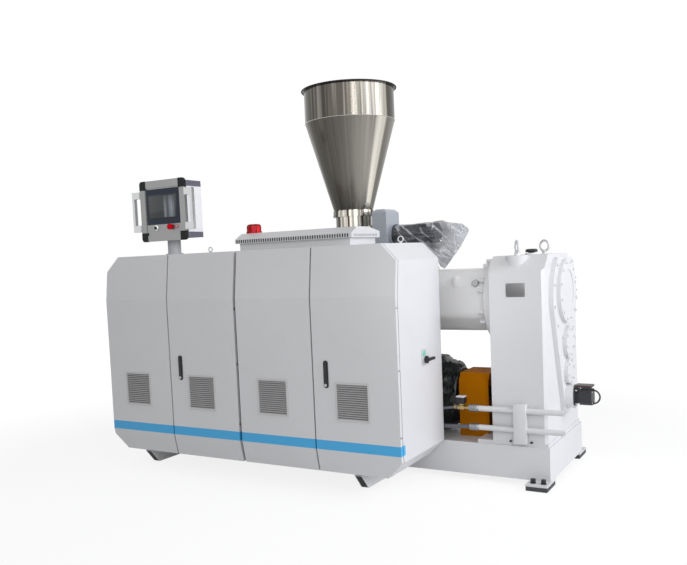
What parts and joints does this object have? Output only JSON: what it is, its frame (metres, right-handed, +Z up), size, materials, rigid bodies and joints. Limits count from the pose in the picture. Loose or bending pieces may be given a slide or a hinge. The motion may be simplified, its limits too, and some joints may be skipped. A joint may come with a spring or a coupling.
{
  "type": "plastic extruder",
  "caption": "Twin-screw plastic extruder with a stainless feed hopper, upright gearbox on a welded base and a long control cabinet with hinged doors.",
  "frame": {"origin": "middle of the footprint on the floor", "axes": "+X along the machine from the discharge flange to the gearbox, +Y from the cabinet doors to the back, +Z up"},
  "size_m": [3.235, 1.545, 2.588],
  "materials": {
    "white_paint": "satin light grey-white machine paint",
    "rubber_pad": "dark grey machine mounts",
    "black_plastic": "black moulded plastic",
    "steel": "plain steel",
    "beacon_red": "clear red lens",
    "switch_green": "green plate",
    "panel_aluminium": "satin anodised profile",
    "screen_glass": "dark glossy screen",
    "button_red": "red and metal push buttons",
    "stainless": "polished stainless sheet",
    "gear_unit_grey": "grey-blue enamel",
    "motor_dark": "dark motor enamel",
    "clear_film": "crinkled clear film",
    "vent_grey": "grey moulded grille",
    "guard_orange": "orange-brown safety paint",
    "black_film": "black crinkled wrap",
    "brass": "dull brass with black coil",
    "hose_grey": "grey hose"
  },
  "bodies": {
    "machine": {"base_frame": "white_paint", "foot_pads": "rubber_pad", "cabinet_beams": "white_paint", "cabinet_frame": "white_paint", "end_panels": "white_paint", "back_panel": "white_paint", "roof_vent_box": "white_paint", "lifting_eyes": "steel", "beacon": "beacon_red", "isolator_plate": "switch_green", "panel_post": "steel", "panel_case": "panel_aluminium", "panel_screen": "screen_glass", "panel_handles": "panel_aluminium", "panel_buttons": "button_red", "hopper": "stainless", "hopper_clamp": "stainless", "feed_neck": "stainless", "feeder_gear": "gear_unit_grey", "feeder_motor": "motor_dark", "feeder_film": "clear_film", "lantern": "white_paint", "gearbox": "white_paint", "end_cover": "white_paint", "bearing_caps": "white_paint", "breather": "black_plastic", "oil_pump_motor": "motor_dark", "coupling_guard": "guard_orange", "drive_motor": "black_film", "water_pipes": "white_paint", "water_valve": "brass", "water_hoses": "hose_grey", "barrel": "steel", "barrel_cover": "white_paint"},
    "door_1": {"door_1": "white_paint", "vent_1": "vent_grey"},
    "door_2": {"door_2": "white_paint", "vent_2": "vent_grey", "latch_2": "black_plastic"},
    "door_3": {"door_3": "white_paint", "vent_3": "vent_grey"},
    "door_4": {"door_4": "white_paint", "vent_4": "vent_grey", "latch_4": "black_plastic"},
    "isolator": {"isolator_lever": "black_plastic"}
  },
  "joints": [
    {"name": "door_1_hinge", "type": "hinge", "parent": "machine", "child": "door_1", "pos_m": [-1.488, -0.7555, 0.7], "axis": [0, 0, -1], "range_deg": [0, 105]},
    {"name": "door_2_hinge", "type": "hinge", "parent": "machine", "child": "door_2", "pos_m": [-0.393, -0.7555, 0.7], "axis": [0, 0, 1], "range_deg": [0, 90]},
    {"name": "door_3_hinge", "type": "hinge", "parent": "machine", "child": "door_3", "pos_m": [-0.358, -0.7555, 0.7], "axis": [0, 0, -1], "range_deg": [0, 90]},
    {"name": "door_4_hinge", "type": "hinge", "parent": "machine", "child": "door_4", "pos_m": [0.737, -0.7555, 0.7], "axis": [0, 0, 1], "range_deg": [0, 105]},
    {"name": "isolator_turn", "type": "hinge", "parent": "machine", "child": "isolator", "pos_m": [0.7645, -0.4055, 0.786], "axis": [1, 0, 0], "range_deg": [0, 90]}
  ]
}
